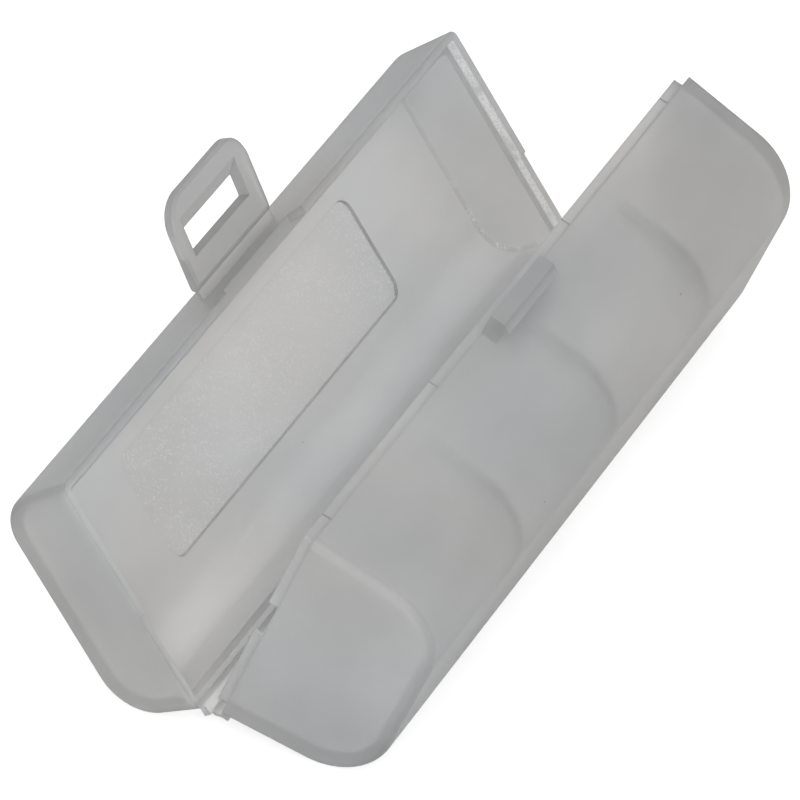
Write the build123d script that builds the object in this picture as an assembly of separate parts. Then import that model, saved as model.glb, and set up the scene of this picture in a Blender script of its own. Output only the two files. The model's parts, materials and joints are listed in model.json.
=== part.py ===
from build123d import *
import math
import os

# Storage box for one round cell: a deep base and a shallow lid of one size, joined
# by a film hinge, with a windowed latch flap on the lid that folds over a hook.
# Millimetres. The long side runs along X and Z is up.
# Every piece is drawn for the closed box first: hinge axis on the X axis, box on the
# side of -Y, base below the parting plane and lid above it. Then the base and the lid
# are turned about the hinge axis to the half-open pose in which the box stands.

# Box sizes, measured at the rims
length = 77.0
width = 24.0
base_depth = 14.0
lid_depth = 9.05
wall = 1.35
lid_floor = 1.25
base_draft = 1.05
lid_draft = 0.75
base_corner = 6.4
lid_front_corner = 4.0
lid_back_corner = 4.8
edge_round = 1.0
inner_edge_round = 0.5
rim_gap = 0.1

# Hinge at the back
pin_offset = 1.85
open_angle = 55.3
flat_angle = 180.0
leaf_thick = 0.7
leaf_inset = 1.0
leaf_end = 0.96
film_thick = 0.32
film_radius = 0.5
film_inset = 1.6
root = 0.4

# Tongue on the base rim and rebate in the lid rim
lip = 0.77
rebate_depth = 1.1
tongue_fit = 0.11
tongue_tall = 1.0
tongue_corner = 0.3
slit_wide = 0.15
slit_deep = 0.2
slit_places = (4.3, 25.1)
end_gap_start = 10.2
end_gap_wide = 4.0
rim_step = 0.25

# Ribs that carry the cell
rib_radius = 10.0
rib_drop = 2.3
rib_thick = 1.2
rib_pitch = 19.4

# Sunk label field in the lid floor
label_long = 44.8
label_wide = 11.0
label_centre = 11.6
label_sink = 0.3
label_corner = 1.6

# Latch flap on the lid and hook on the base
hook_long = 10.1
hook_shift = -0.5
hook_out = 2.2
hook_straight = 1.45
hook_tall = 2.2
lip_out = 1.6
neck_out = 1.4
neck_low = 1.72
neck_high = 1.45
flap_height = 3.24
flap_stand = 0.95
flap_tilt = 10.0
flap_start = 0.1
flap_long = 8.8
flap_wide = 14.1
flap_thick = 1.15
flap_face = 0.5
flap_corner = 3.0
flap_bevel = 0.25
root_run = 0.8
root_bevel = 0.3
flap_film = 0.3
film_short = 0.1
window_near = 2.95
window_far = 5.15
window_ramp = 6.9
window_fit = 0.15
notch_long = 14.8
notch_ramp = 1.1

half_gap = rim_gap / 2
back = -pin_offset
front = -pin_offset - width
middle = -pin_offset - width / 2


def corner_centre(depth, draft, radius):
    """Centre of a floor corner: inset from the rim line, distance below the rim."""
    slope = draft / depth
    inset = slope * (depth - radius) + radius * math.hypot(1, slope)
    return inset, depth - radius


def rest_angle():
    """Turn of the lid about the hinge at which both floor corners touch the ground."""
    lid_in, lid_down = corner_centre(lid_depth, lid_draft, lid_back_corner)
    base_in, base_down = corner_centre(base_depth, base_draft, base_corner)
    a1, b1 = pin_offset + lid_in, lid_down + half_gap
    a2, b2 = pin_offset + base_in, base_down + half_gap
    phi = math.radians(open_angle)
    a = a1 - a2 * math.cos(phi) + b2 * math.sin(phi)
    b = -b1 - a2 * math.sin(phi) - b2 * math.cos(phi)
    c = lid_back_corner - base_corner
    return math.degrees(math.asin(c / math.hypot(a, b)) - math.atan2(b, a))


lid_turn = rest_angle() - flat_angle
base_turn = lid_turn + open_angle


def cup(long, wide, depth, draft, back_radius, front_radius, edge):
    """Solid cup with leaning walls, rim in the plane Z = 0, back wall at Y = 0."""
    slope = draft / depth
    rim = [(0, 0), (-wide, 0), (-wide + draft, -depth), (-draft, -depth)]
    outline = Plane.YZ * Polyline(*rim, close=True)
    section = make_face(outline)
    front_floor = section.vertices().sort_by(Axis.Z)[:2].sort_by(Axis.Y)[0]
    section = fillet(front_floor, front_radius)
    back_floor = [v for v in section.vertices() if abs(v.Y + draft) < 1e-6 and abs(v.Z + depth) < 1e-6]
    section = fillet(back_floor, back_radius)
    body = extrude(section, amount=long / 2, both=True)
    far = long / 2
    near = far - slope * depth
    side = [(-far, 0), (far, 0), (near, -depth), (-near, -depth)]
    ends = extrude(make_face(Plane.XZ * Polyline(*side, close=True)), amount=wide * 2, both=True)
    body = body & ends
    caps = body.faces().filter_by(lambda f: abs(f.normal_at().X) > 0.9)
    edges = [e for cap in caps for e in cap.edges() if e.center().Z < -1e-4]
    return fillet(edges, edge)


def shell(depth, floor, draft, back_radius, front_radius):
    """Open shell with even walls, rim in the plane Z = 0, back wall at Y = 0."""
    outer = cup(length, width, depth, draft, back_radius, front_radius, edge_round)
    hollow_depth = depth - floor
    hollow_draft = draft * hollow_depth / depth
    hollow = cup(length - 2 * wall, width - 2 * wall, hollow_depth, hollow_draft,
                 back_radius - wall, front_radius - wall, inner_edge_round)
    return outer - Pos(0, -wall, 0) * hollow


def rim_block(inset, corner, low, high):
    """Block that follows the rim at an inset, between two heights."""
    plan = RectangleRounded(length - 2 * inset, width - 2 * inset, corner)
    return Pos(0, middle, low) * extrude(plan, amount=high - low)


def slab(x, y, z, dx, dy, dz):
    """Box with its centre at x, y, z."""
    return Pos(x, y, z) * Box(dx, dy, dz)


def tongue():
    """Thin tongue that stands on the base rim, with its slits and end gaps."""
    inset = lip + tongue_fit
    low = -half_gap - root
    high = -half_gap + tongue_tall
    ring = rim_block(inset, tongue_corner, low, high) - rim_block(wall, tongue_corner, low, high)
    tall = 2 * tongue_tall
    level = -half_gap + tongue_tall
    for place in slit_places:
        for side in (-1, 1):
            x = side * (length / 2 - place)
            ring -= slab(x, front + inset, level, slit_wide, 2 * slit_deep, tall)
    y = back - end_gap_start - end_gap_wide / 2
    for side in (-1, 1):
        ring -= slab(side * length / 2, y, level, 4 * wall, end_gap_wide, tall)
    return ring


def rib(x):
    """Rib across the base that fills the space round the cell."""
    depth = base_depth - wall / 2
    slope = base_draft / base_depth
    top = -half_gap - rib_drop
    low = -half_gap - depth
    out = width / 2 - wall / 2
    inset = slope * depth
    points = [
        (middle - out, top),
        (middle + out, top),
        (middle + out - inset, low),
        (middle - out + inset, low),
    ]
    plate = make_face(Plane.YZ * Polyline(*points, close=True))
    corners = plate.vertices().sort_by(Axis.Z)[:2]
    plate = fillet(corners, base_corner - wall / 2)
    body = extrude(plate, amount=rib_thick / 2, both=True)
    cell = Rot(0, 90, 0) * Cylinder(rib_radius, 2 * rib_thick)
    return Pos(x, 0, 0) * (body - Pos(0, middle, top) * cell)


def hook():
    """Hook on the front wall of the base: a neck with a lip that points down at its end."""
    slope = base_draft / base_depth
    top = -half_gap
    inner = front + wall / 2
    outer = front - hook_out
    points = [
        (inner, top),
        (outer, top),
        (outer, top - hook_straight),
        (front - lip_out, top - hook_tall),
        (front - neck_out, top - neck_low),
        (front + slope * neck_high, top - neck_high),
        (inner, top - neck_high),
    ]
    section = make_face(Plane.YZ * Polyline(*points, close=True))
    return Pos(hook_shift, 0, 0) * extrude(section, amount=hook_long / 2, both=True)


def leaf(side):
    """Flange of the hinge at the back of a rim, side 1 for the lid and -1 for the base."""
    out = back - root
    y = (out - leaf_end) / 2
    z = side * (half_gap + leaf_thick / 2)
    return slab(0, y, z, length - 2 * leaf_inset, abs(out) - leaf_end, leaf_thick)


def base_tray():
    """Deep half with tongue, ribs, hook and hinge flange."""
    body = Pos(0, back, -half_gap) * shell(base_depth, wall, base_draft, base_corner, base_corner)
    for x in (-rib_pitch, 0, rib_pitch):
        body += rib(x)
    body += tongue()
    body += hook()
    body += leaf(-1)
    return body


def label_field():
    """Block cut out of the lid floor for the sunk label field."""
    plan = RectangleRounded(label_long, label_wide, label_corner)
    level = half_gap + lid_depth - lid_floor
    block = extrude(plan, amount=label_sink, taper=20)
    return Pos(0, front + label_centre, level - 1e-3) * block


def flap_notch():
    """Wedge-ended cut in the front rim of the lid, in front of the latch."""
    half = notch_long / 2
    low = half_gap
    high = half_gap + rebate_depth
    sides = [(half, low - 1), (half, low), (half - notch_ramp, high)]
    points = sides + [(-x, z) for x, z in reversed(sides)]
    side = make_face(Plane.XZ * Polyline(*points, close=True))
    return Pos(0, front, 0) * extrude(side, amount=2 * lip, both=True)


def lid_shell():
    """Shallow half with rebate, label field, rim notch and hinge flange."""
    cover = shell(lid_depth, lid_floor, lid_draft, lid_back_corner, lid_front_corner)
    body = Pos(0, back, half_gap) * mirror(cover, Plane.XY)
    body -= rim_block(lip, tongue_corner, half_gap - 1, half_gap + rebate_depth)
    body -= label_field()
    body -= flap_notch()
    step_wide = end_gap_start - lip
    y = back - lip - step_wide / 2
    for side in (-1, 1):
        body -= slab(side * length / 2, y, half_gap, 4 * lip, step_wide, 2 * rim_step)
    body += leaf(1)
    return body


def bent_strip(centre, radius, spread, straight, thick):
    """Section of a strip bent round a point on -Y, its two legs spread about -Y."""
    half = thick / 2

    def bend(r, side):
        return (r * math.sin(spread) - centre, side * r * math.cos(spread))

    def end(r, side):
        y, z = bend(r, side)
        return (y - straight * math.cos(spread), z + side * straight * math.sin(spread))

    inner, outer = radius - half, radius + half
    outline = Line(end(inner, -1), bend(inner, -1))
    outline += ThreePointArc(bend(inner, -1), (inner - centre, 0), bend(inner, 1))
    outline += Line(bend(inner, 1), end(inner, 1))
    outline += Line(end(inner, 1), end(outer, 1))
    outline += Line(end(outer, 1), bend(outer, 1))
    outline += ThreePointArc(bend(outer, 1), (outer - centre, 0), bend(outer, -1))
    outline += Line(bend(outer, -1), end(outer, -1))
    outline += Line(end(outer, -1), end(inner, -1))
    return make_face(Plane.YZ * outline)


def hinge_film():
    """Film of the main hinge in the half-open pose, with -Y halfway between its leaves."""
    spread = math.radians(open_angle / 2)
    lift = film_radius - half_gap - film_thick / 2
    straight = leaf_end - lift / math.tan(spread)
    section = bent_strip(lift / math.sin(spread), film_radius, spread, straight, film_thick)
    return extrude(section, amount=length / 2 - film_inset, both=True)


def latch_axis():
    """Place of the latch axis beside the lid wall, and the slope of that wall."""
    slope = lid_draft / lid_depth
    z = half_gap + flap_height
    return front + slope * flap_height - flap_stand, z, slope


def latch_film():
    """Film between the lid wall and the latch flap."""
    y, z, slope = latch_axis()
    half = flap_film / 2
    turn = math.radians(flap_tilt)
    high = (y + flap_stand + slope * half, z + half)
    low = (y + flap_stand - slope * half, z - half)

    def outward(s, h):
        return (y - s * math.cos(turn) - h * math.sin(turn), z - s * math.sin(turn) + h * math.cos(turn))

    bend = half * math.tan(turn / 2)
    knee_high = (y - bend, z + half)
    knee_low = (y + bend, z - half)
    points = [high, low, knee_low, outward(flap_start, -half), outward(flap_start, half), knee_high]
    section = make_face(Plane.YZ * Polyline(*points, close=True))
    return extrude(section, amount=flap_wide / 2 - film_short, both=True)


def flap_plate():
    """Plate of the flap, its face on Z=0 and its root bevelled towards the film."""
    half = flap_wide / 2
    points = [(-half, -flap_start), (half, -flap_start), (half, -flap_long), (-half, -flap_long)]
    plan = make_face(Polyline(*points, close=True))
    plan = fillet(plan.vertices().sort_by(Axis.Y)[:2], flap_corner)
    low, high = flap_face - flap_film / 2, flap_face + flap_film / 2
    side = [
        (-flap_start, low),
        (-root_run, 0),
        (-flap_long, 0),
        (-flap_long, flap_thick),
        (-flap_start - root_bevel, flap_thick),
        (-flap_start, high),
    ]
    section = make_face(Plane.YZ * Polyline(*side, close=True))
    plate = extrude(section, amount=half, both=True) & extrude(plan, amount=flap_thick)
    outer = [e for e in plate.edges() if e.center().Y < -2 * root_run]
    level = [e for e in outer if abs(e.tangent_at(0.5).Z) < 1e-3]
    outline = [e for e in level if e.center().Z < 1e-3 or e.center().Z > flap_thick - 1e-3]
    return chamfer(outline, flap_bevel)


def flap_window():
    """Block that cuts the window: straight towards the root, a ramp towards the tip."""
    below = -1.0
    above = flap_thick + 1
    lean = (window_ramp - window_far) / flap_thick
    points = [
        (-window_near, below),
        (-window_near, above),
        (-window_far, above),
        (-window_far, flap_thick),
        (-window_ramp + below * lean, below),
    ]
    section = make_face(Plane.YZ * Polyline(*points, close=True))
    return Pos(hook_shift, 0, 0) * extrude(section, amount=hook_long / 2 + window_fit, both=True)


def latch_flap():
    """Latch flap with its window, sticking out from the lid at its resting tilt."""
    y, z, slope = latch_axis()
    plate = flap_plate() - flap_window()
    return Pos(0, y, z) * (Rot(flap_tilt, 0, 0) * (Pos(0, 0, -flap_face) * plate))


turns = {
    "base_tray": base_turn,
    "hinge_film": lid_turn + open_angle / 2,
    "lid_shell": lid_turn,
    "latch_film": lid_turn,
    "latch_flap": lid_turn,
}
pieces = {
    "base_tray": base_tray(),
    "hinge_film": hinge_film(),
    "lid_shell": lid_shell(),
    "latch_film": latch_film(),
    "latch_flap": latch_flap(),
}
placed = {name: Rot(turns[name], 0, 0) * piece for name, piece in pieces.items()}
extents = [piece.bounding_box() for piece in placed.values()]
low_y = min(box.min.Y for box in extents)
high_y = max(box.max.Y for box in extents)
low_z = min(box.min.Z for box in extents)
shift = Pos(0, -(low_y + high_y) / 2, -low_z)
os.makedirs("parts", exist_ok=True)
for name, piece in placed.items():
    export_step(shift * piece, f"parts/{name}.step")
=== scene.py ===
"""Storage box for one round cell, in translucent grey plastic, half open on its film hinge."""
import json
import math
from collections import namedtuple

import bmesh
import bpy
from mathutils import Matrix, Vector


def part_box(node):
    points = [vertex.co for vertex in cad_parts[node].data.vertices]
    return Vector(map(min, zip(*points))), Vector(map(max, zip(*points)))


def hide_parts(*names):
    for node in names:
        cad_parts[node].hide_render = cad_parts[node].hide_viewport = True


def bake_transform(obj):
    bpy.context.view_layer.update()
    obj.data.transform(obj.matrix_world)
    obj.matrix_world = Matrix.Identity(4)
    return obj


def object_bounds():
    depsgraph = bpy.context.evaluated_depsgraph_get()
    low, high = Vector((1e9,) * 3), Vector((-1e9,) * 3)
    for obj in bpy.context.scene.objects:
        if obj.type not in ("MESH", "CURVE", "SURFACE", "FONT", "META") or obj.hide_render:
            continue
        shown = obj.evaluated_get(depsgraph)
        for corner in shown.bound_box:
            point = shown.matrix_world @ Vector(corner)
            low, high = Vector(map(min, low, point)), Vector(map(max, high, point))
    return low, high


bl_info = {
    "name": "Cell Storage Box",
    "version": (1, 0, 0),
    "blender": (4, 5, 0),
    "location": "3D View > Sidebar > Cell Box",
    "description": "Dresses a translucent storage box for one round cell and sets up its studio",
    "category": "Object",
}

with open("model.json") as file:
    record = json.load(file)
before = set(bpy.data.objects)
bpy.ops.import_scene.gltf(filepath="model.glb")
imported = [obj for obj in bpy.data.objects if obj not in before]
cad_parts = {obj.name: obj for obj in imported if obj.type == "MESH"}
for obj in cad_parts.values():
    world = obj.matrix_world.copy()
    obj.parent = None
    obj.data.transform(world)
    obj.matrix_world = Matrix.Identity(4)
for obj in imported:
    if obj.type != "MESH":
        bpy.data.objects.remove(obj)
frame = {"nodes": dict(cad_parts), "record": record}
CAD_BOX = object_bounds()

MM = 0.001
MOUNTS = {mount["name"]: mount for mount in frame["record"]["mounts"]}
JOINTS = {joint["name"]: joint for joint in frame["record"]["behaviour"]["joints"]}
ALONG = Vector((1, 0, 0))
# Outward from the lid's top and from the base's underside, and from the hinge to each front wall
LID_OUT = Vector(MOUNTS["lid_top"]["axis"])
LID_RUN = ALONG.cross(LID_OUT)
BASE_OUT = Vector(MOUNTS["base_underside"]["axis"])
BASE_RUN = BASE_OUT.cross(ALONG)
HINGE = Vector(JOINTS["lid_hinge"]["pos_m"])
LATCH = Vector(JOINTS["latch_hinge"]["pos_m"])
OPEN_ANGLE = math.radians(JOINTS["lid_hinge"]["range_deg"][1])

WHITE = (1.0, 1.0, 1.0, 1.0)
GREY = (0.5, 0.5, 0.5, 1.0)
SPECK_COLOUR = (0.05, 0.045, 0.04, 1.0)
# Colour of the painted shade on sharp edges and in inner corners
EDGE_SHADE_COLOUR = (0.55, 0.55, 0.56, 1.0)
DEPTH_COLOUR = (0.8, 0.8, 0.8, 1.0)
PAPER_DARK = (0.6, 0.6, 0.6, 1.0)
PAPER_LIGHT = (0.62, 0.62, 0.62, 1.0)
FLOOR_GLOW = 0.62
PLASTIC_IOR = 1.49
PLASTIC_SPECULAR = 0.4

# Loose patches of a Noise texture: its cells for each metre, its detail, and the values of the
# texture between which a patch fades in
Patches = namedtuple("Patches", "scale detail start full")
FLOW_CLOUDS = Patches(70.0, 4.0, 0.3, 0.7)
FLOW_CASTS = Patches(35.0, 1.0, 0.35, 0.65)
LABEL_PATCHES = Patches(160.0, 2.0, 0.35, 0.7)
STRIP_HIGHLIGHT_SPECKS = Patches(6000.0, 1.0, 0.3, 0.55)
STRIP_PATCHES = Patches(420.0, 2.0, 0.38, 0.5)
CORNER_SPARKS = Patches(5000.0, 1.0, 0.45, 0.6)
CORNER_PATCHES = Patches(600.0, 1.0, 0.4, 0.55)
PAPER_CLOUDS = Patches(4.0, 2.0, 0.3, 0.7)

# Scales of the other textures, in cells for each metre
GRAIN_SWELL = 90.0
FLOW_SPECKS = 400.0
LABEL_GRAINS = 6500.0

# How far the casts go to warm and to cool
CAST_REACH = 0.015
# Share of the cells that stay clear of specks, and where a speck fades, in cells from its middle
SPECK_RARITY = 0.9
SPECK_EDGE = (0.03, 0.06)
# Share of the label field's grains that stay dull, between its patches and inside them
GLINT_RARITY = (0.97, 0.75)

# Sockets of a Mix node that mixes colours
MIX_FACTOR, MIX_FIRST, MIX_SECOND, MIX_RESULT = 0, 6, 7, 2

SMOOTH_ANGLE = math.radians(35)
BEND_STEPS = 18
HINGE_COLUMNS = 48
LATCH_COLUMNS = 16

PHOTO_SIDE = 800.0
SENSOR_WIDTH = 36.0
CLIP_NEAR, CLIP_FAR = 0.05, 20.0
# From the hinge axis to the point that the camera turns about
CAMERA_PIVOT = Vector((0.5 * MM, 0, 8 * MM))
FLOOR_DROP = 0.02 * MM
# Each lamp's place from the middle of the box, and the setting that holds its power
LAMPS = (
    ("Key lamp", (-0.52, -0.27, 0.42), "key_power"),
    ("Side lamp", (-0.7, -0.15, 0.15), "side_power"),
    ("Top lamp", (-0.15, 0.1, 0.75), "top_power"),
)


class HingeFilmSizes(bpy.types.PropertyGroup):
    """Sizes of the thin films that join the three stiff parts of the box."""

    thickness: bpy.props.FloatProperty(
        name="Hinge film thickness", description="Thickness of the main hinge film",
        default=0.32 * MM, min=0.1 * MM, subtype="DISTANCE", unit="LENGTH")
    bend_radius: bpy.props.FloatProperty(
        name="Bend radius", description="Radius of the film's middle line in the half-open pose",
        default=0.5 * MM, min=0.2 * MM, subtype="DISTANCE", unit="LENGTH")
    leaf_end: bpy.props.FloatProperty(
        name="Leaf distance", description="Distance from the hinge axis to the end of each flange",
        default=0.96 * MM, min=0.3 * MM, subtype="DISTANCE", unit="LENGTH")
    half_gap: bpy.props.FloatProperty(
        name="Half rim gap", description="Half of the gap between the closed rims",
        default=0.05 * MM, min=0.0, subtype="DISTANCE", unit="LENGTH")
    end_scoop: bpy.props.FloatProperty(
        name="End scoop", description="Depth of the hollow curve at each end of the film",
        default=0.35 * MM, min=0.0, subtype="DISTANCE", unit="LENGTH")
    latch_thickness: bpy.props.FloatProperty(
        name="Latch film thickness", description="Thickness of the film that carries the flap",
        default=0.3 * MM, min=0.1 * MM, subtype="DISTANCE", unit="LENGTH")
    latch_reach: bpy.props.FloatProperty(
        name="Latch film reach", description="From the latch axis back to the film's end on the lid",
        default=0.95 * MM, min=0.1 * MM, subtype="DISTANCE", unit="LENGTH")
    latch_bend_share: bpy.props.FloatProperty(
        name="Latch bend share", description="Share of the reach that bends when the flap moves",
        default=0.6, min=0.0, max=1.0, subtype="FACTOR")
    latch_tip: bpy.props.FloatProperty(
        name="Latch film tip", description="From the latch axis to the film's end in the flap",
        default=0.1 * MM, min=0.01 * MM, subtype="DISTANCE", unit="LENGTH")
    latch_tilt: bpy.props.FloatProperty(
        name="Latch film tilt", description="Angle between the film's tip and the rest of it",
        default=math.radians(10), subtype="ANGLE", unit="ROTATION")


class PlasticSettings(bpy.types.PropertyGroup):
    """Colour, clarity and finish of the translucent plastic, and the painted light, shade and highlights
    on its parts. A tone of 1 leaves its colour as it is.
    """

    colour: bpy.props.FloatVectorProperty(
        name="Plastic colour", description="Colour of the plastic",
        default=(0.75, 0.75, 0.747), min=0.0, max=1.0, size=3, subtype="COLOR")
    clarity: bpy.props.FloatProperty(
        name="Clarity", description="Share of the light that passes through the wall",
        default=0.7, min=0.0, max=1.0, subtype="FACTOR")
    density: bpy.props.FloatProperty(
        name="Density", description="How fast light fades in the plastic, which darkens thick places",
        default=700.0, min=0.0, max=5000.0)
    satin: bpy.props.FloatProperty(
        name="Satin", description="Roughness of the moulded surface",
        default=0.5, min=0.05, max=1.0, subtype="FACTOR")
    grain: bpy.props.FloatProperty(
        name="Moulded grain", description="Height of the fine grain from the mould",
        default=0.004 * MM, min=0.0, precision=6, subtype="DISTANCE", unit="LENGTH")
    flow: bpy.props.FloatProperty(
        name="Flow marks", description="Strength of the cloudy streaks",
        default=0.1, min=0.0, max=1.0, subtype="FACTOR")
    # Painted shade on sharp edges and in inner corners
    edges: bpy.props.FloatProperty(
        name="Edge darkening", description="Strength of the darker tone on sharp edges",
        default=0.3, min=0.0, max=1.0, subtype="FACTOR")
    # Darker and lighter copies of the one plastic: painted shade on the lid, flap and latch film,
    # painted light on the hinge film
    lid_shade_tone: bpy.props.FloatProperty(
        name="Lid tone", description="Tone of the lid shell",
        default=0.94, min=0.5, max=1.5)
    flap_shade_tone: bpy.props.FloatProperty(
        name="Flap tone", description="Tone of the latch flap",
        default=0.86, min=0.5, max=1.5)
    hinge_film_light_tone: bpy.props.FloatProperty(
        name="Hinge film tone", description="Tone of the main hinge film",
        default=1.05, min=0.5, max=1.5)
    latch_film_shade_tone: bpy.props.FloatProperty(
        name="Latch film tone", description="Tone of the latch film",
        default=0.95, min=0.5, max=1.5)
    # Painted light on the long faces inside a shell
    inner_light_tone: bpy.props.FloatProperty(
        name="Inner tone", description="Tone of the long faces inside a shell",
        default=1.2, min=0.5, max=1.5)
    # Painted shade on the rounded corners at the two ends
    corner_shade_tone: bpy.props.FloatProperty(
        name="Corner tone", description="Tone of the rounded corners at the two ends",
        default=0.87, min=0.5, max=1.5)
    # Painted light on the lid's rim and rebate
    rim_light_tone: bpy.props.FloatProperty(
        name="Rim tone", description="Tone of the lid's rim, where one looks down into the wall",
        default=1.4, min=0.5, max=1.5)
    # Painted light on the lid's inner faces down by the hinge
    hinge_side_light_tone: bpy.props.FloatProperty(
        name="Hinge side tone", description="Tone of the lid's inner faces down by the hinge",
        default=1.16, min=0.5, max=1.5)
    # Painted shade on the hook's ends and lip
    hook_side_shade_tone: bpy.props.FloatProperty(
        name="Hook side tone", description="Tone of the hook's ends and lip",
        default=0.92, min=0.5, max=1.5)
    label_tone: bpy.props.FloatProperty(
        name="Label tone", description="Tone of the sunk label field between its glints",
        default=0.97, min=0.5, max=1.5)
    sparkle: bpy.props.FloatProperty(
        name="Label sparkle", description="Strength of the glints in the sunk label field",
        default=0.8, min=0.0, max=1.0, subtype="FACTOR")
    etching: bpy.props.FloatProperty(
        name="Label etching", description="Height of the label field's grains against the moulded grain",
        default=2.0, min=0.0, max=10.0)
    # Painted highlight in bright patches on the end walls of the rebate
    strip: bpy.props.FloatProperty(
        name="Bright strip", description="Strength of the bright crazed strip at the ends of the rebate",
        default=0.95, min=0.0, max=1.0, subtype="FACTOR")
    strip_gloss: bpy.props.FloatProperty(
        name="Strip gloss", description="Share of the roughness that the bright strip loses",
        default=0.4, min=0.0, max=1.0, subtype="FACTOR")


class ShellSizes(bpy.types.PropertyGroup):
    """Sizes of the two shells, which place the tones and glints on their faces."""

    middle: bpy.props.FloatProperty(
        name="Middle", description="From the hinge axis to the middle of a shell",
        default=13.85 * MM, min=1 * MM, subtype="DISTANCE", unit="LENGTH")
    front: bpy.props.FloatProperty(
        name="Front", description="From the hinge axis to the front walls at the rims",
        default=25.85 * MM, min=1 * MM, subtype="DISTANCE", unit="LENGTH")
    rebate_end: bpy.props.FloatProperty(
        name="Rebate end", description="From the middle of the box to the end walls of the rebate",
        default=37.73 * MM, min=1 * MM, subtype="DISTANCE", unit="LENGTH")
    inner_end: bpy.props.FloatProperty(
        name="Inner end", description="From the middle of the box to the lid's inner ends at its rim",
        default=37.15 * MM, min=1 * MM, subtype="DISTANCE", unit="LENGTH")
    inner_round: bpy.props.FloatProperty(
        name="Inner round", description="Radius between the lid's inner ends and its other faces",
        default=0.5 * MM, min=0.1 * MM, subtype="DISTANCE", unit="LENGTH")
    end_lean: bpy.props.FloatProperty(
        name="End lean", description="How far the lid's ends lean inwards for each unit of depth",
        default=0.083, min=0.0, max=0.5)
    base_depth: bpy.props.FloatProperty(
        name="Base depth", description="Outer depth of the base",
        default=14.0 * MM, min=1 * MM, subtype="DISTANCE", unit="LENGTH")
    lid_depth: bpy.props.FloatProperty(
        name="Lid depth", description="Outer depth of the lid",
        default=9.05 * MM, min=1 * MM, subtype="DISTANCE", unit="LENGTH")


class LabelField(bpy.types.PropertyGroup):
    """Place and size of the sunk label field inside the lid."""

    long: bpy.props.FloatProperty(
        name="Length", description="Length of the field along the box",
        default=44.8 * MM, min=1 * MM, subtype="DISTANCE", unit="LENGTH")
    wide: bpy.props.FloatProperty(
        name="Width", description="Width of the field across the box",
        default=11.0 * MM, min=1 * MM, subtype="DISTANCE", unit="LENGTH")
    from_hinge: bpy.props.FloatProperty(
        name="Distance from hinge", description="From the hinge axis to the middle of the field",
        default=14.25 * MM, min=0.0, subtype="DISTANCE", unit="LENGTH")
    depth: bpy.props.FloatProperty(
        name="Depth", description="From the parting plane to the field",
        default=8.15 * MM, min=0.0, subtype="DISTANCE", unit="LENGTH")
    blur: bpy.props.FloatProperty(
        name="Blur", description="Width of the soft edge of the field's finish",
        default=0.15 * MM, min=0.01 * MM, subtype="DISTANCE", unit="LENGTH")


class StudioSettings(bpy.types.PropertyGroup):
    """Camera, lamps and floor."""

    azimuth: bpy.props.FloatProperty(
        name="Azimuth", description="Camera's turn about the vertical, 0 looks along +Y",
        default=math.radians(-63.89), subtype="ANGLE", unit="ROTATION")
    elevation: bpy.props.FloatProperty(
        name="Elevation", description="Camera's height angle above the floor",
        default=math.radians(36.7175), subtype="ANGLE", unit="ROTATION")
    roll: bpy.props.FloatProperty(
        name="Roll", description="Camera's roll, positive lifts its right side",
        default=math.radians(-0.3053), subtype="ANGLE", unit="ROTATION")
    distance: bpy.props.FloatProperty(
        name="Distance", description="From the camera to the point that it turns about",
        default=801.66 * MM, min=0.05, subtype="DISTANCE", unit="LENGTH")
    focal: bpy.props.FloatProperty(
        name="Focal length", description="Focal length in pixels of the photograph",
        default=9030.55, min=100.0)
    offset: bpy.props.FloatVectorProperty(
        name="Frame offset", description="Right and down offset of the picture's middle, in pixels",
        default=(9.04, 11.58), size=2)
    floor_size: bpy.props.FloatProperty(
        name="Floor size", description="Side of the square floor",
        default=1.6, min=0.2, subtype="DISTANCE", unit="LENGTH")
    lamp_size: bpy.props.FloatProperty(
        name="Lamp size", description="Side of each square lamp",
        default=0.4, min=0.01, subtype="DISTANCE", unit="LENGTH")
    key_power: bpy.props.FloatProperty(
        name="Key lamp", description="Power of the soft key lamp",
        default=2.2, min=0.0, subtype="POWER", unit="POWER")
    top_power: bpy.props.FloatProperty(
        name="Top lamp", description="Power of the soft lamp that reaches down between the two halves",
        default=1.0, min=0.0, subtype="POWER", unit="POWER")
    side_power: bpy.props.FloatProperty(
        name="Side lamp", description="Power of the soft lamp beside the near end of the box",
        default=0.85, min=0.0, subtype="POWER", unit="POWER")
    sky: bpy.props.FloatProperty(
        name="Sky", description="Strength of the even light from all around",
        default=0.65, min=0.0)


def group_tree(name, inputs, outputs):
    """Empty shader node group with the given sockets, and its input and output nodes."""
    tree = bpy.data.node_groups.new(name, "ShaderNodeTree")
    for label, kind, default in inputs:
        socket = tree.interface.new_socket(name=label, in_out="INPUT", socket_type=kind)
        if default is not None:
            socket.default_value = default
    for label, kind in outputs:
        tree.interface.new_socket(name=label, in_out="OUTPUT", socket_type=kind)
    return tree, tree.nodes.new("NodeGroupInput"), tree.nodes.new("NodeGroupOutput")


def add(tree, kind, inputs=None, **settings):
    """New node whose inputs are values or other sockets."""
    made = tree.nodes.new(kind)
    for name, value in settings.items():
        setattr(made, name, value)
    for key, value in (inputs or {}).items():
        if isinstance(value, bpy.types.NodeSocket):
            tree.links.new(value, made.inputs[key])
        else:
            made.inputs[key].default_value = value
    return made


def math_node(tree, operation, first, second=0.0, third=0.0):
    """Output of a Math node."""
    inputs = {0: first, 1: second, 2: third}
    return add(tree, "ShaderNodeMath", inputs, operation=operation).outputs[0]


def absolute(tree, value):
    """Output that drops the sign of a value."""
    return math_node(tree, "ABSOLUTE", value)


def product(tree, first, *others):
    """Output that multiplies all the values."""
    for other in others:
        first = math_node(tree, "MULTIPLY", first, other)
    return first


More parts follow.
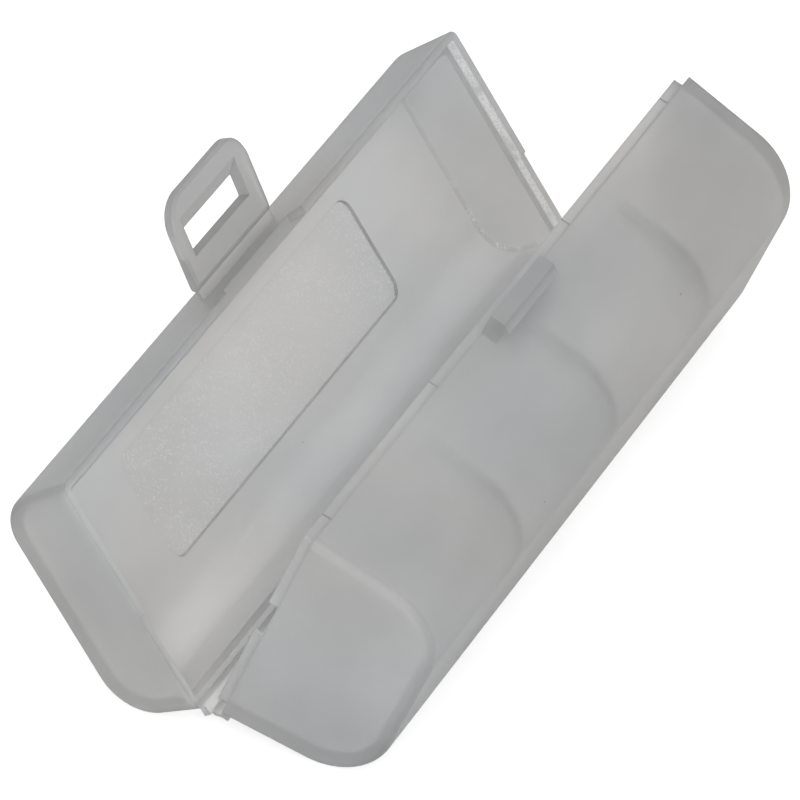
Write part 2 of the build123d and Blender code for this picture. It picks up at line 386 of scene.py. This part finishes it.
def map_range(tree, value, low, high, to_low=0.0, to_high=1.0, smooth=False):
    """Output of a clamped Map Range node."""
    values = {"Value": value, "From Min": low, "From Max": high, "To Min": to_low, "To Max": to_high}
    kind = "SMOOTHSTEP" if smooth else "LINEAR"
    return add(tree, "ShaderNodeMapRange", values, interpolation_type=kind).outputs["Result"]


def falling(tree, value, start, end, smooth=False):
    """1 up to the start, then down to 0 at the end."""
    return map_range(tree, value, start, end, 1.0, 0.0, smooth)


def band(tree, value, rise, fall, smooth=False):
    """1 between a rising and a falling edge, each given as its start and end."""
    rising = map_range(tree, value, *rise, smooth=smooth)
    return product(tree, rising, falling(tree, value, *fall, smooth))


def mix_colour(tree, factor, first, second, blend="MIX"):
    """Output of a colour Mix node."""
    inputs = {MIX_FACTOR: factor, MIX_FIRST: first, MIX_SECOND: second}
    made = add(tree, "ShaderNodeMix", inputs, data_type="RGBA", blend_type=blend)
    return made.outputs[MIX_RESULT]


def noise(tree, place, scale, detail):
    """Output of a Noise texture, mostly between 0.3 and 0.7."""
    inputs = {"Vector": place, "Scale": scale, "Detail": detail}
    return add(tree, "ShaderNodeTexNoise", inputs).outputs["Fac"]


def patches(tree, place, kind, between=0.0, inside=1.0):
    """Output with one value between the patches of a kind and another one inside them."""
    value = noise(tree, place, kind.scale, kind.detail)
    return map_range(tree, value, kind.start, kind.full, between, inside)


def vector_node(tree, operation, first, second):
    """Vector Math node."""
    return add(tree, "ShaderNodeVectorMath", {0: first, 1: second}, operation=operation)


def dot(tree, first, second):
    """Output that holds the dot product of two vectors."""
    return vector_node(tree, "DOT_PRODUCT", first, second).outputs["Value"]


def moulded_grain_group():
    """Height of the fine grain that the mould leaves, and a roughness that varies over the part."""
    tree, inside, outside = group_tree(
        "Moulded Grain",
        [("Vector", "NodeSocketVector", None), ("Grain Size", "NodeSocketFloat", 0.25),
         ("Roughness", "NodeSocketFloat", 0.5), ("Variation", "NodeSocketFloat", 0.08)],
        [("Height", "NodeSocketFloat"), ("Roughness", "NodeSocketFloat")])
    place = inside.outputs["Vector"]
    scale = math_node(tree, "DIVIDE", 1 / MM, inside.outputs["Grain Size"])
    fine = noise(tree, place, scale, 2.0)
    swell = math_node(tree, "SUBTRACT", noise(tree, place, GRAIN_SWELL, 3.0), 0.5)
    change = product(tree, swell, inside.outputs["Variation"])
    rough = math_node(tree, "ADD", inside.outputs["Roughness"], change)
    tree.links.new(fine, outside.inputs["Height"])
    tree.links.new(rough, outside.inputs["Roughness"])
    return tree


def flow_marks_group():
    """Faint cloudy streaks and warm and cool casts from the flow of the plastic, and dark specks."""
    tree, inside, outside = group_tree(
        "Flow Marks",
        [("Vector", "NodeSocketVector", None), ("Color", "NodeSocketColor", GREY),
         ("Strength", "NodeSocketFloat", 0.12), ("Specks", "NodeSocketFloat", 0.5)],
        [("Color", "NodeSocketColor")])
    place = inside.outputs["Vector"]
    stretched = add(tree, "ShaderNodeMapping", {"Vector": place, "Scale": (0.5, 1.0, 1.0)}).outputs[0]
    shade = patches(tree, stretched, FLOW_CLOUDS, -1.0, 1.0)
    gain = math_node(tree, "ADD", product(tree, shade, inside.outputs["Strength"]), 1.0)
    warmth = patches(tree, place, FLOW_CASTS, 1.0 - CAST_REACH, 1.0 + CAST_REACH)
    warm = product(tree, gain, warmth)
    cool = math_node(tree, "DIVIDE", gain, warmth)
    tint = add(tree, "ShaderNodeCombineColor", {"Red": warm, "Green": gain, "Blue": cool}).outputs[0]
    shaded = mix_colour(tree, 1.0, inside.outputs["Color"], tint, blend="MULTIPLY")
    cells = add(tree, "ShaderNodeTexVoronoi", {"Vector": place, "Scale": FLOW_SPECKS})
    chance = add(tree, "ShaderNodeSeparateColor", {"Color": cells.outputs["Color"]}).outputs["Red"]
    rare = math_node(tree, "GREATER_THAN", chance, SPECK_RARITY)
    near = falling(tree, cells.outputs["Distance"], *SPECK_EDGE)
    dark = product(tree, near, rare, inside.outputs["Specks"])
    tree.links.new(mix_colour(tree, dark, shaded, SPECK_COLOUR), outside.inputs["Color"])
    return tree


def edge_tone_group():
    """Slightly darker painted shade where the wall turns sharply, on its edges and in its inner corners.
    """
    tree, inside, outside = group_tree(
        "Edge Tone",
        [("Color", "NodeSocketColor", GREY), ("Radius", "NodeSocketFloat", 0.4 * MM),
         ("Strength", "NodeSocketFloat", 0.3)],
        [("Color", "NodeSocketColor")])
    away = (0.75, 0.98)
    rounded = add(tree, "ShaderNodeBevel", {"Radius": inside.outputs["Radius"]}, samples=4).outputs[0]
    facing = add(tree, "ShaderNodeNewGeometry").outputs["Normal"]
    turned = falling(tree, dot(tree, rounded, facing), *away)
    amount = product(tree, turned, inside.outputs["Strength"])
    deep = mix_colour(tree, 1.0, inside.outputs["Color"], EDGE_SHADE_COLOUR, blend="MULTIPLY")
    toned = mix_colour(tree, amount, inside.outputs["Color"], deep)
    tree.links.new(toned, outside.inputs["Color"])
    return tree


def shell_faces_group():
    """Masks of a shell's long inner faces, which get painted light, and of the rounded corners at its
    two ends, which get painted shade.
    """
    tree, inside, outside = group_tree(
        "Shell Faces",
        [("Vector", "NodeSocketVector", None), ("Normal", "NodeSocketVector", None),
         ("Centre", "NodeSocketVector", (0.0, 0.0, 0.0))],
        [("Inner", "NodeSocketFloat"), ("Corner", "NodeSocketFloat")])
    inward_edge = (0.0, 1.5 * MM)
    along_edge = (0.03, 0.25)
    corner_edges = ((0.1, 0.4), (0.8, 0.985))
    normal = inside.outputs["Normal"]
    inward = vector_node(tree, "SUBTRACT", inside.outputs["Centre"], inside.outputs["Vector"]).outputs[0]
    across = vector_node(tree, "MULTIPLY", inward, (0, 1, 1)).outputs[0]
    inner = map_range(tree, dot(tree, across, normal), *inward_edge, smooth=True)
    endward = absolute(tree, add(tree, "ShaderNodeSeparateXYZ", {"Vector": normal}).outputs["X"])
    level = falling(tree, endward, *along_edge, smooth=True)
    corner = band(tree, endward, *corner_edges, smooth=True)
    tree.links.new(product(tree, inner, level), outside.inputs["Inner"])
    tree.links.new(corner, outside.inputs["Corner"])
    return tree


def place_tone_group():
    """Multiplies a colour by a tone where its mask is 1."""
    tree, inside, outside = group_tree(
        "Place Tone",
        [("Color", "NodeSocketColor", GREY), ("Mask", "NodeSocketFloat", 0.0),
         ("Tone", "NodeSocketFloat", 1.0)],
        [("Color", "NodeSocketColor")])
    change = math_node(tree, "SUBTRACT", inside.outputs["Tone"], 1.0)
    gain = math_node(tree, "MULTIPLY_ADD", change, inside.outputs["Mask"], 1.0)
    tint = add(tree, "ShaderNodeCombineColor", {"Red": gain, "Green": gain, "Blue": gain}).outputs[0]
    toned = mix_colour(tree, 1.0, inside.outputs["Color"], tint, blend="MULTIPLY")
    tree.links.new(toned, outside.inputs["Color"])
    return tree


GROUPS = {
    "Moulded Grain": moulded_grain_group,
    "Flow Marks": flow_marks_group,
    "Edge Tone": edge_tone_group,
    "Shell Faces": shell_faces_group,
    "Place Tone": place_tone_group,
}


def use_group(tree, name, inputs):
    """Node of a shared group, which is made the first time that it is asked for."""
    group = bpy.data.node_groups.get(name) or GROUPS[name]()
    return add(tree, "ShaderNodeGroup", inputs, node_tree=group)


def place_tone(tree, colour, mask, tone):
    """Colour that is multiplied by a tone where a mask is 1."""
    inputs = {"Color": colour, "Mask": mask, "Tone": tone}
    return use_group(tree, "Place Tone", inputs).outputs["Color"]


def along(tree, place, direction):
    """Distance of each point from the hinge axis, measured along a direction."""
    return dot(tree, vector_node(tree, "SUBTRACT", place, HINGE).outputs[0], direction)


def normal_along(tree, direction):
    """Share of the surface's own normal that points along a direction."""
    return dot(tree, add(tree, "ShaderNodeTexCoord").outputs["Normal"], direction)


Frosted = namedtuple("Frosted", "material tree shader place colour roughness height bump")


def frosted_plastic(name, plastic, tone=1.0, centre=None):
    """Translucent satin plastic with painted shade on its sharp edges; for a shell, painted light on the
    faces that look towards its centre and painted shade on its rounded end corners.
    """
    material = bpy.data.materials.new(name)
    material.use_nodes = True
    tree = material.node_tree
    shader = tree.nodes["Principled BSDF"]
    coordinates = add(tree, "ShaderNodeTexCoord")
    place = coordinates.outputs["Object"]
    base = (*(value * tone for value in plastic.colour), 1.0)
    flow = use_group(tree, "Flow Marks", {"Vector": place, "Color": base, "Strength": plastic.flow})
    # Painted shade on sharp edges and in inner corners
    edge = use_group(tree, "Edge Tone", {"Color": flow.outputs["Color"], "Strength": plastic.edges})
    colour = edge.outputs["Color"]
    if centre is not None:
        inputs = {"Vector": place, "Normal": coordinates.outputs["Normal"], "Centre": centre}
        faces = use_group(tree, "Shell Faces", inputs)
        # Painted light on the inner faces and painted shade on the rounded end corners
        colour = place_tone(tree, colour, faces.outputs["Inner"], plastic.inner_light_tone)
        colour = place_tone(tree, colour, faces.outputs["Corner"], plastic.corner_shade_tone)
    grain = use_group(tree, "Moulded Grain", {"Vector": place, "Roughness": plastic.satin})
    height, roughness = grain.outputs["Height"], grain.outputs["Roughness"]
    bump = add(tree, "ShaderNodeBump", {"Height": height, "Distance": plastic.grain})
    tree.links.new(colour, shader.inputs["Base Color"])
    tree.links.new(roughness, shader.inputs["Roughness"])
    tree.links.new(bump.outputs["Normal"], shader.inputs["Normal"])
    shader.inputs["Transmission Weight"].default_value = plastic.clarity
    shader.inputs["IOR"].default_value = PLASTIC_IOR
    shader.inputs["Specular IOR Level"].default_value = PLASTIC_SPECULAR
    inputs = {"Color": DEPTH_COLOUR, "Density": plastic.density}
    depth = add(tree, "ShaderNodeVolumeAbsorption", inputs)
    tree.links.new(depth.outputs[0], tree.nodes["Material Output"].inputs["Volume"])
    return Frosted(material, tree, shader, place, colour, roughness, height, bump)


def dress(node, material):
    """Gives a drawn part its material."""
    target = frame["nodes"][node]
    target.data.materials.clear()
    target.data.materials.append(material)


def new_mesh(name, mesh, material):
    """Linked object for a finished bmesh, smooth where the surface is curved."""
    data = bpy.data.meshes.new(name)
    mesh.normal_update()
    mesh.to_mesh(data)
    mesh.free()
    made = bpy.data.objects.new(name, data)
    bpy.context.collection.objects.link(made)
    data.materials.append(material)
    data.shade_smooth()
    data.set_sharp_from_angle(angle=SMOOTH_ANGLE)
    return made


def swept_strip(name, section, ends, material, columns):
    """Closed strip whose section is a ring of points, swept along the box between its two ends."""
    mesh = bmesh.new()
    rings = []
    for k in range(columns + 1):
        share = 2 * k / columns - 1
        rings.append([mesh.verts.new(point + ALONG * share * end) for point, end in zip(section, ends)])
    count = len(section)
    for near, far in zip(rings, rings[1:]):
        for i in range(count):
            j = (i + 1) % count
            mesh.faces.new((near[i], near[j], far[j], far[i]))
    for ring, turn in ((rings[0], 1), (rings[-1], -1)):
        for i in range(count // 2 - 1):
            quad = (ring[i], ring[i + 1], ring[count - 2 - i], ring[count - 1 - i])
            mesh.faces.new(quad[::-turn])
    bmesh.ops.recalc_face_normals(mesh, faces=mesh.faces)
    return new_mesh(name, mesh, material)


def box_settings(context):
    """All settings of the box."""
    return context.scene.cell_box


def hook_side_shade_mask(tree, place, shell):
    """1 on the hook's ends and lip, which get painted shade: what stands out of the base's front wall
    and looks elsewhere.
    """
    front_edge = (shell.front + 0.05 * MM, shell.front + 0.15 * MM)
    facing_edge = (0.85, 0.98)
    proud = map_range(tree, along(tree, place, BASE_RUN), *front_edge)
    return product(tree, proud, falling(tree, normal_along(tree, BASE_RUN), *facing_edge))


class CELLBOX_OT_base_tray(bpy.types.Operator):
    """Finish the deep half of the box, with painted shade on the hook's ends and lip"""

    bl_idname = "cellbox.base_tray"
    bl_label = "Base Tray"

    def execute(self, context):
        plastic, shell = box_settings(context).plastic, box_settings(context).shell
        centre = HINGE + BASE_RUN * shell.middle + BASE_OUT * shell.base_depth / 2
        made = frosted_plastic("Frosted plastic, base", plastic, centre=centre)
        mask = hook_side_shade_mask(made.tree, made.place, shell)
        colour = place_tone(made.tree, made.colour, mask, plastic.hook_side_shade_tone)
        made.tree.links.new(colour, made.shader.inputs["Base Color"])
        dress("base_tray", made.material)
        return {"FINISHED"}


def label_mask(tree, place, field):
    """1 inside the sunk label field and 0 outside, from the place of each point on the lid."""
    sides = ((ALONG, 0.0, field.long / 2), (LID_RUN, field.from_hinge, field.wide / 2))
    masks = []
    for direction, middle, half in sides:
        distance = absolute(tree, math_node(tree, "SUBTRACT", along(tree, place, direction), middle))
        masks.append(falling(tree, distance, half - field.blur, half))
    level = absolute(tree, math_node(tree, "SUBTRACT", along(tree, place, LID_OUT), field.depth))
    return product(tree, *masks, falling(tree, level, field.blur, 1.5 * field.blur))


def label_grains(tree, place):
    """Glints that gather in loose patches, and the height of the grains that they sit on."""
    cells = add(tree, "ShaderNodeTexVoronoi", {"Vector": place, "Scale": LABEL_GRAINS})
    chance = add(tree, "ShaderNodeSeparateColor", {"Color": cells.outputs["Color"]})
    rarity = patches(tree, place, LABEL_PATCHES, *GLINT_RARITY)
    return math_node(tree, "GREATER_THAN", chance.outputs["Red"], rarity), chance.outputs["Green"]


def rim_light_mask(tree, place):
    """1 on the faces of the lid's rim and rebate that look at the base when the box is closed, which get
    painted light.
    """
    facing_edge = (0.6, 0.85)
    rebate_edge = (1.25 * MM, 1.4 * MM)
    facing = map_range(tree, normal_along(tree, -LID_OUT), *facing_edge)
    return product(tree, facing, falling(tree, along(tree, place, LID_OUT), *rebate_edge))


def hinge_side_light_mask(tree, place, shell):
    """Where painted light goes: 1 inside the lid beside its flange, fading out towards the middle and
    ending at the floor.
    """
    fade = (1.0 * MM, 7.0 * MM)
    floor_edge = (shell.lid_depth - 1.4 * MM, shell.lid_depth - 1.1 * MM)
    wall_edge = (1.2 * MM, 1.6 * MM)
    run = along(tree, place, LID_RUN)
    fading = falling(tree, run, *fade, smooth=True)
    inner = falling(tree, along(tree, place, LID_OUT), *floor_edge)
    return product(tree, fading, inner, map_range(tree, run, *wall_edge))


def rebate_highlight_mask(tree, place, shell):
    """Painted highlight in bright patches on the narrow end walls of the rebate in the lid's rim."""
    wall_edge = (0.05 * MM, 0.08 * MM)
    depth_edges = ((0.12 * MM, 0.22 * MM), (0.95 * MM, 1.1 * MM))
    endward = absolute(tree, along(tree, place, ALONG))
    off_wall = absolute(tree, math_node(tree, "SUBTRACT", endward, shell.rebate_end))
    return product(
        tree,
        falling(tree, off_wall, *wall_edge),
        band(tree, along(tree, place, LID_OUT), *depth_edges),
        patches(tree, place, STRIP_HIGHLIGHT_SPECKS),
        patches(tree, place, STRIP_PATCHES))


def corner_glints_mask(tree, place, shell):
    """Sparse glints on the rounded inner corners at the lid's two ends, most of them by the hinge."""
    blur = 0.1 * MM
    start, end = shell.inner_end - shell.inner_round, shell.inner_end
    curve_edges = ((0.2, 0.35), (0.8, 0.95))
    depth_edges = ((1.5 * MM, 2.5 * MM), (8.2 * MM, 8.4 * MM))
    fade, faint = (7.0 * MM, 13.0 * MM), 0.15
    deep = along(tree, place, LID_OUT)
    endward = absolute(tree, along(tree, place, ALONG))
    upright = math_node(tree, "MULTIPLY_ADD", deep, shell.end_lean, endward)
    return product(
        tree,
        band(tree, upright, (start - blur, start), (end, end + blur)),
        band(tree, absolute(tree, normal_along(tree, ALONG)), *curve_edges),
        band(tree, deep, *depth_edges),
        patches(tree, place, CORNER_SPARKS),
        patches(tree, place, CORNER_PATCHES),
        map_range(tree, along(tree, place, LID_RUN), *fade, 1.0, faint))


class CELLBOX_OT_lid_shell(bpy.types.Operator):
    """Finish the shallow half of the box, with painted light on its rim and by the hinge, and glints in
    its label field, rebate and corners
    """

    bl_idname = "cellbox.lid_shell"
    bl_label = "Lid Shell"

    def execute(self, context):
        settings = box_settings(context)
        plastic, shell = settings.plastic, settings.shell
        centre = HINGE + LID_RUN * shell.middle + LID_OUT * shell.lid_depth / 2
        # Lid in a darker tone, a painted shade
        made = frosted_plastic("Frosted plastic, lid", plastic, plastic.lid_shade_tone, centre)
        tree, place, colour = made.tree, made.place, made.colour
        label = label_mask(tree, place, settings.label)
        # Painted light by the hinge and on the rim, then the label field's own tone
        for mask, tone in ((hinge_side_light_mask(tree, place, shell), plastic.hinge_side_light_tone),
                           (rim_light_mask(tree, place), plastic.rim_light_tone),
                           (label, plastic.label_tone)):
            colour = place_tone(tree, colour, mask, tone)
        glint, grain = label_grains(tree, place)
        sparkle = product(tree, glint, label, plastic.sparkle)
        # Painted highlight on the rebate's end walls
        strip = product(tree, rebate_highlight_mask(tree, place, shell), plastic.strip)
        corner = corner_glints_mask(tree, place, shell)
        shining = math_node(tree, "MAXIMUM", math_node(tree, "MAXIMUM", sparkle, strip), corner)
        gloss = math_node(tree, "MULTIPLY_ADD", strip, -plastic.strip_gloss, 1.0)
        etched = product(tree, label, grain)
        height = math_node(tree, "MULTIPLY_ADD", etched, plastic.etching, made.height)
        lit = mix_colour(tree, shining, colour, WHITE)
        tree.links.new(lit, made.shader.inputs["Base Color"])
        tree.links.new(product(tree, made.roughness, gloss), made.shader.inputs["Roughness"])
        tree.links.new(height, made.bump.inputs["Height"])
        dress("lid_shell", made.material)
        return {"FINISHED"}


class CELLBOX_OT_latch_flap(bpy.types.Operator):
    """Finish the latch flap in a darker tone, a painted shade"""

    bl_idname = "cellbox.latch_flap"
    bl_label = "Latch Flap"

    def execute(self, context):
        plastic = box_settings(context).plastic
        made = frosted_plastic("Frosted plastic, flap", plastic, plastic.flap_shade_tone)
        dress("latch_flap", made.material)
        return {"FINISHED"}


def bent_side(centre, inward, lidward, radius, run):
    """One face of the bent hinge film, as points from the base's flange to the lid's flange."""
    spread = OPEN_ANGLE / 2
    bow = math.pi / 2 - spread
    points = []
    for k in range(BEND_STEPS + 1):
        angle = -bow + 2 * bow * k / BEND_STEPS
        points.append(centre - inward * radius * math.cos(angle) + lidward * radius * math.sin(angle))
    rise, lean = inward * math.cos(spread), lidward * math.sin(spread)
    return [points[0] + (rise - lean) * run, *points, points[-1] + (rise + lean) * run]


class CELLBOX_OT_hinge_film(bpy.types.Operator):
    """Bend the main hinge film between the flanges of base and lid"""

    bl_idname = "cellbox.hinge_film"
    bl_label = "Hinge Film"

    def execute(self, context):
        film, plastic = box_settings(context).film, box_settings(context).plastic
        # Hinge film in a lighter tone, a painted light
        frosted = frosted_plastic("Frosted plastic, hinge film", plastic, plastic.hinge_film_light_tone)
        low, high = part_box("hinge_film")
        half_long = (high[0] - low[0]) / 2
        inward = (LID_RUN + BASE_RUN).normalized()
        lidward = inward.cross(ALONG)
        half = film.thickness / 2
        lift = film.bend_radius - film.half_gap - half
        centre = HINGE + inward * (lift / math.sin(OPEN_ANGLE / 2))
        run = film.leaf_end - lift / math.tan(OPEN_ANGLE / 2)
        inner = bent_side(centre, inward, lidward, film.bend_radius - half, run)
        outer = bent_side(centre, inward, lidward, film.bend_radius + half, run)
        last = len(inner) - 1
        ends = [half_long - film.end_scoop * math.sin(math.pi * k / last) for k in range(last + 1)]
        made = swept_strip("bent_hinge_film", inner + outer[::-1], ends + ends[::-1],
                           frosted.material, HINGE_COLUMNS)
        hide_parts("hinge_film")
        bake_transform(made)
        return {"FINISHED"}


class CELLBOX_OT_latch_film(bpy.types.Operator):
    """Bend the latch film between the lid's front wall and the flap"""

    bl_idname = "cellbox.latch_film"
    bl_label = "Latch Film"

    def execute(self, context):
        film, plastic = box_settings(context).film, box_settings(context).plastic
        # Latch film in a darker tone, a painted shade
        frosted = frosted_plastic("Frosted plastic, latch film", plastic, plastic.latch_film_shade_tone)
        half_long = max(vertex.co.x for vertex in frame["nodes"]["latch_film"].data.vertices)
        half = film.latch_thickness / 2
        lean = LID_RUN * math.cos(film.latch_tilt) - LID_OUT * math.sin(film.latch_tilt)
        facing = LID_OUT * math.cos(film.latch_tilt) + LID_RUN * math.sin(film.latch_tilt)
        flat_steps, tip_steps = 6, 3
        path = []
        for k in range(flat_steps + 1):
            path.append((LATCH - LID_RUN * film.latch_reach * (1 - k / flat_steps), LID_OUT))
        for k in range(1, tip_steps + 1):
            path.append((LATCH + lean * film.latch_tip * k / tip_steps, facing))
        upper = [point + side * half for point, side in path]
        lower = [point - side * half for point, side in path]
        section = upper + lower[::-1]
        made = swept_strip("bent_latch_film", section, [half_long] * len(section),
                           frosted.material, LATCH_COLUMNS)
        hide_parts("latch_film")
        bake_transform(made)
        return {"FINISHED"}


def floor_material():
    """Pale floor that looks white to the camera and keeps the object's shadow."""
    material = bpy.data.materials.new("White sweep")
    material.use_nodes = True
    tree = material.node_tree
    tree.nodes.clear()
    path = add(tree, "ShaderNodeLightPath")
    seen = math_node(tree, "MAXIMUM", path.outputs["Is Camera Ray"], path.outputs["Is Glossy Ray"])
    seen = math_node(tree, "MAXIMUM", seen, path.outputs["Is Transmission Ray"])
    place = add(tree, "ShaderNodeTexCoord").outputs["Generated"]
    paper = mix_colour(tree, patches(tree, place, PAPER_CLOUDS), PAPER_DARK, PAPER_LIGHT)
    diffuse = add(tree, "ShaderNodeBsdfDiffuse", {"Color": paper})
    strength = product(tree, seen, FLOOR_GLOW)
    glow = add(tree, "ShaderNodeEmission", {"Color": WHITE, "Strength": strength})
    both = add(tree, "ShaderNodeAddShader", {0: diffuse.outputs[0], 1: glow.outputs[0]})
    add(tree, "ShaderNodeOutputMaterial", {"Surface": both.outputs[0]})
    return material


def soft_lamp(name, place, aim, size, power):
    """Square area lamp at a place, pointed at an aim."""
    data = bpy.data.lights.new(name, "AREA")
    data.shape = "SQUARE"
    data.size = size
    data.energy = power
    lamp = bpy.data.objects.new(name, data)
    bpy.context.collection.objects.link(lamp)
    lamp.location = place
    lamp.rotation_euler = (aim - place).to_track_quat("-Z", "Y").to_euler()
    return lamp


def set_sky(strength):
    """Even white light from all around, white to the camera and through clear plastic."""
    world = bpy.data.worlds.new("Studio sky")
    bpy.context.scene.world = world
    world.use_nodes = True
    tree = world.node_tree
    tree.nodes.clear()
    path = add(tree, "ShaderNodeLightPath")
    seen = math_node(tree, "MAXIMUM", path.outputs["Is Camera Ray"], path.outputs["Is Transmission Ray"])
    level = math_node(tree, "MAXIMUM", seen, strength)
    sky = add(tree, "ShaderNodeBackground", {"Color": WHITE, "Strength": level})
    add(tree, "ShaderNodeOutputWorld", {"Surface": sky.outputs[0]})


def photo_camera(studio):
    """Camera at the photograph's viewing angle and framing."""
    data = bpy.data.cameras.new("Photo camera")
    camera = bpy.data.objects.new("Photo camera", data)
    bpy.context.collection.objects.link(camera)
    bpy.context.scene.camera = camera
    azimuth, elevation, roll = studio.azimuth, studio.elevation, studio.roll
    flat = math.cos(elevation)
    back = Vector((math.sin(azimuth) * flat, -math.cos(azimuth) * flat, math.sin(elevation)))
    right = (-back).cross(Vector((0, 0, 1))).normalized()
    up = right.cross(-back)
    side = right * math.cos(roll) + up * math.sin(roll)
    top = up * math.cos(roll) - right * math.sin(roll)
    turn = Matrix((side, top, back)).transposed().to_4x4()
    place = HINGE + CAMERA_PIVOT + back * studio.distance
    camera.matrix_world = Matrix.Translation(place) @ turn
    data.sensor_width = SENSOR_WIDTH
    data.lens = studio.focal * SENSOR_WIDTH / PHOTO_SIDE
    data.shift_x = -studio.offset[0] / PHOTO_SIDE
    data.shift_y = studio.offset[1] / PHOTO_SIDE
    data.clip_start, data.clip_end = CLIP_NEAR, CLIP_FAR


class CELLBOX_OT_stage(bpy.types.Operator):
    """Set up the floor, lamps, sky and camera"""

    bl_idname = "cellbox.stage"
    bl_label = "Stage"

    def execute(self, context):
        studio = box_settings(context).studio
        mesh = bmesh.new()
        bmesh.ops.create_grid(mesh, x_segments=1, y_segments=1, size=studio.floor_size / 2)
        floor = new_mesh("floor", mesh, floor_material())
        floor.location.z = -FLOOR_DROP
        middle = (Vector(CAD_BOX[0]) + Vector(CAD_BOX[1])) / 2
        for name, place, setting in LAMPS:
            power = getattr(studio, setting)
            soft_lamp(name, middle + Vector(place), middle, studio.lamp_size, power)
        set_sky(studio.sky)
        photo_camera(studio)
        context.scene.view_settings.view_transform = "Standard"
        return {"FINISHED"}


class CellBoxSettings(bpy.types.PropertyGroup):
    """Everything a user can change about the box and its studio."""

    film: bpy.props.PointerProperty(
        type=HingeFilmSizes, name="Films", description="Sizes of the hinge films")
    plastic: bpy.props.PointerProperty(
        type=PlasticSettings, name="Plastic", description="Look of the plastic")
    shell: bpy.props.PointerProperty(
        type=ShellSizes, name="Shells", description="Sizes of the two shells")
    label: bpy.props.PointerProperty(
        type=LabelField, name="Label field", description="Sunk field in the lid")
    studio: bpy.props.PointerProperty(
        type=StudioSettings, name="Studio", description="Camera, lamps and floor")


STEPS = (
    CELLBOX_OT_base_tray,
    CELLBOX_OT_lid_shell,
    CELLBOX_OT_latch_flap,
    CELLBOX_OT_hinge_film,
    CELLBOX_OT_latch_film,
    CELLBOX_OT_stage,
)


class CELLBOX_PT_panel(bpy.types.Panel):
    """Sidebar panel with the settings and one button for each step"""

    bl_idname = "CELLBOX_PT_panel"
    bl_label = "Cell Storage Box"
    bl_space_type = "VIEW_3D"
    bl_region_type = "UI"
    bl_category = "Cell Box"

    def draw(self, context):
        settings = box_settings(context)
        for part in (settings.film, settings.plastic, settings.shell, settings.label, settings.studio):
            section = self.layout.box()
            for key in part.__annotations__:
                section.prop(part, key)
        for step in STEPS:
            self.layout.operator(step.bl_idname)


SETTINGS = (HingeFilmSizes, PlasticSettings, ShellSizes, LabelField, StudioSettings, CellBoxSettings)
CLASSES = (*SETTINGS, *STEPS, CELLBOX_PT_panel)


def register():
    """Registers the classes and hangs the settings on the scene."""
    for item in CLASSES:
        bpy.utils.register_class(item)
    bpy.types.Scene.cell_box = bpy.props.PointerProperty(type=CellBoxSettings)


def unregister():
    """Removes what register added."""
    del bpy.types.Scene.cell_box
    for item in reversed(CLASSES):
        bpy.utils.unregister_class(item)


def main():
    """Runs every step."""
    register()
    bpy.ops.cellbox.base_tray()
    bpy.ops.cellbox.lid_shell()
    bpy.ops.cellbox.latch_flap()
    bpy.ops.cellbox.hinge_film()
    bpy.ops.cellbox.latch_film()
    bpy.ops.cellbox.stage()


if __name__ == "__main__":
    main()
